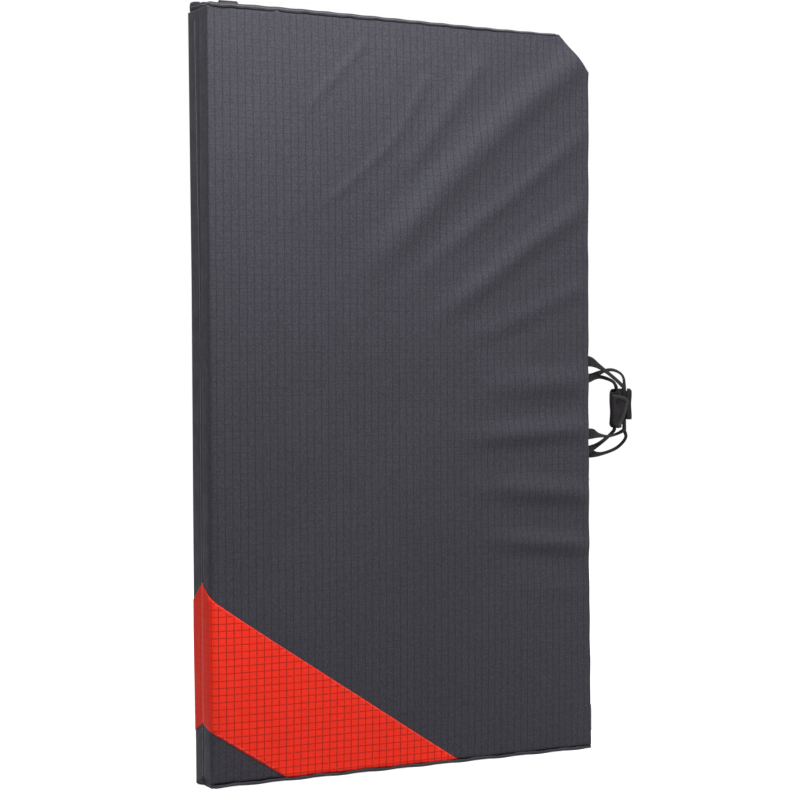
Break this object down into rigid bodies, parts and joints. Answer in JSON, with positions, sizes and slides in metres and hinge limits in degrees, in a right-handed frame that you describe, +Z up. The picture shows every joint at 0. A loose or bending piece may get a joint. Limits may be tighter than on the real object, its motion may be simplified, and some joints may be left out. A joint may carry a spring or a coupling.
{
  "type": "bouldering crash pad",
  "caption": "Hinged two-panel foam crash pad, folded on its end, with gripped webbing handles, a grab loop, access zips, a shoulder harness and a waist belt.",
  "frame": {"origin": "on the ground under the middle of the folded pad's outer box, handles, harness and grab loop included", "axes": "+Z up along the pad's height; +X from the fold seam to the handles; +Y from the front panel to the rear panel, so the face with the corner band in view looks along -Y"},
  "size_m": [0.6632, 0.0822, 1.0109],
  "materials": {
    "charcoal_cloth": "coated ripstop nylon, slightly sheeny",
    "red_cloth": "coated ripstop nylon with a dark grid",
    "piping": "corded piping",
    "webbing": "woven nylon webbing",
    "wrap_cloth": "woven cloth with hook and loop",
    "strap_cloth": "heavy woven nylon",
    "zip_tape": "woven zip tape and coil",
    "zip_metal": "dark coated zinc",
    "buckle_plastic": "moulded acetal",
    "landing_foam": "closed-cell foam",
    "core_foam": "open-cell foam"
  },
  "bodies": {
    "rear_panel": {"rear_cover": "charcoal_cloth", "rear_landing_foam": "landing_foam", "rear_core_foam": "core_foam", "rear_corner_band": "red_cloth", "hinge_piping": "piping", "rear_handle_inner": "webbing", "rear_handle_outer": "webbing", "grip_wrap": "wrap_cloth", "rear_zip_tape": "zip_tape", "rear_zip_bottom_stop": "zip_metal", "rear_zip_top_stop": "zip_metal", "harness_yoke": "strap_cloth", "shoulder_pad_left": "strap_cloth", "shoulder_pad_right": "strap_cloth", "shoulder_webbing_left": "webbing", "shoulder_webbing_right": "webbing", "ladder_lock_left": "buckle_plastic", "ladder_lock_right": "buckle_plastic", "adjuster_webbing_left": "webbing", "adjuster_webbing_right": "webbing", "strap_anchor_left": "strap_cloth", "strap_anchor_right": "strap_cloth", "belt_anchor_left": "strap_cloth", "belt_anchor_right": "strap_cloth", "waist_belt_left": "webbing", "waist_belt_right": "webbing", "buckle_socket": "buckle_plastic", "buckle_tongue": "buckle_plastic"},
    "front_panel": {"front_cover": "charcoal_cloth", "front_landing_foam": "landing_foam", "front_core_foam": "core_foam", "front_corner_band": "red_cloth", "front_handle": "webbing", "grab_loop": "webbing", "front_zip_tape": "zip_tape", "front_zip_bottom_stop": "zip_metal", "front_zip_top_stop": "zip_metal"},
    "grip_flap": {"grip_flap": "wrap_cloth"},
    "front_zip_slider": {"front_zip_slider": "zip_metal"},
    "front_zip_pull": {"front_zip_pull": "zip_metal"},
    "rear_zip_slider": {"rear_zip_slider": "zip_metal"},
    "rear_zip_pull": {"rear_zip_pull": "zip_metal"}
  },
  "joints": [
    {"name": "fold", "type": "hinge", "parent": "rear_panel", "child": "front_panel", "pos_m": [-0.3296, -0.00609, 0], "axis": [0, 0, -1], "range_deg": [0, 180]},
    {"name": "flap_peel", "type": "hinge", "parent": "rear_panel", "child": "grip_flap", "pos_m": [0.29692, -0.01689, 0.4775], "axis": [0, 0, -1], "range_deg": [0, 110]},
    {"name": "front_zip_run", "type": "slide", "parent": "front_panel", "child": "front_zip_slider", "axis": [0, 0, 1], "range_m": [0, 0.315]},
    {"name": "front_zip_pull_swing", "type": "hinge", "parent": "front_zip_slider", "child": "front_zip_pull", "pos_m": [0.2527, -0.01809, 0.0549], "axis": [0, -1, 0], "range_deg": [0, 150]},
    {"name": "rear_zip_run", "type": "slide", "parent": "rear_panel", "child": "rear_zip_slider", "axis": [0, 0, 1], "range_m": [0, 0.315]},
    {"name": "rear_zip_pull_swing", "type": "hinge", "parent": "rear_zip_slider", "child": "rear_zip_pull", "pos_m": [0.2527, 0.00591, 0.0549], "axis": [0, -1, 0], "range_deg": [0, 150]}
  ]
}
